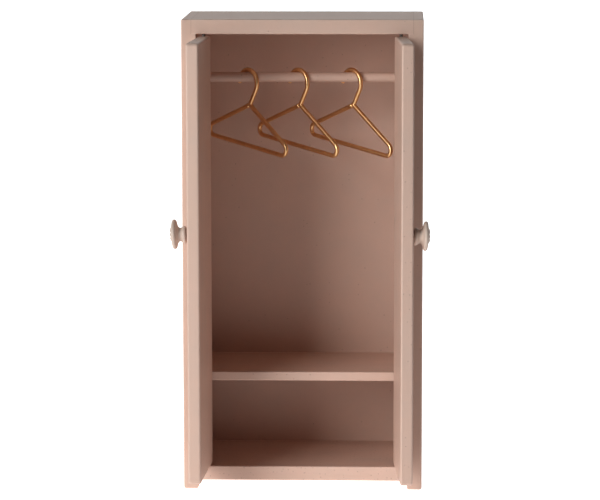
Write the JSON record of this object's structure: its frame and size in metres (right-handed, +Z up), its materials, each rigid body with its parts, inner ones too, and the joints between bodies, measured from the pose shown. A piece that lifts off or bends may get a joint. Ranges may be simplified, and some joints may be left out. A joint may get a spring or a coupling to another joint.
{
  "type": "miniature wardrobe",
  "caption": "Dolls' house wardrobe: painted board case with two pivoting doors and round knobs, a low shelf, and a hanging rail with wire clothes hangers.",
  "frame": {"origin": "on the floor, under the middle of the whole object's box with both doors open", "axes": "+Z up, the doors and the opening face -Y, +X to the right of someone facing the front"},
  "size_m": [0.1216, 0.1076, 0.227],
  "materials": {
    "painted_wood": "satin pink paint over smooth board",
    "painted_knob": "satin pink paint over a cast rosette",
    "hanger_wire": "polished antique gold plating on round wire",
    "steel": "plain steel pins and brads"
  },
  "bodies": {
    "carcass": {"side_panel_left": "painted_wood", "side_panel_right": "painted_wood", "top_board": "painted_wood", "bottom_board": "painted_wood", "back_panel": "painted_wood", "shelf": "painted_wood", "hanging_rail": "painted_wood", "top_brads": "steel", "bottom_brads": "steel", "shelf_brads": "steel", "back_brads": "steel", "hinge_pin_bottom_left": "steel", "hinge_pin_bottom_right": "steel", "hinge_pin_top_left": "steel", "hinge_pin_top_right": "steel"},
    "left_door": {"door_left": "painted_wood", "knob_left": "painted_knob", "knob_stud_left": "steel"},
    "right_door": {"door_right": "painted_wood", "knob_right": "painted_knob", "knob_stud_right": "steel"},
    "left_hanger": {"hanger_left": "hanger_wire"},
    "middle_hanger": {"hanger_middle": "hanger_wire"},
    "right_hanger": {"hanger_right": "hanger_wire"}
  },
  "joints": [
    {"name": "left_door_hinge", "type": "hinge", "parent": "carcass", "child": "left_door", "pos_m": [-0.04696, -0.00728, 0.0063], "axis": [0, 0, 1], "range_deg": [-4, 93]},
    {"name": "right_door_hinge", "type": "hinge", "parent": "carcass", "child": "right_door", "pos_m": [0.04673, -0.00728, 0.0063], "axis": [0, 0, 1], "range_deg": [-94, 3]},
    {"name": "left_hanger_swing", "type": "hinge", "parent": "carcass", "child": "left_hanger", "pos_m": [-0.02731, 0.02182, 0.19705], "axis": [1, 0, 0], "range_deg": [-6, 6]},
    {"name": "middle_hanger_swing", "type": "hinge", "parent": "carcass", "child": "middle_hanger", "pos_m": [-0.00286, 0.02182, 0.19705], "axis": [1, 0, 0], "range_deg": [-6, 6]},
    {"name": "right_hanger_swing", "type": "hinge", "parent": "carcass", "child": "right_hanger", "pos_m": [0.02288, 0.02182, 0.19705], "axis": [1, 0, 0], "range_deg": [-6, 6]}
  ]
}
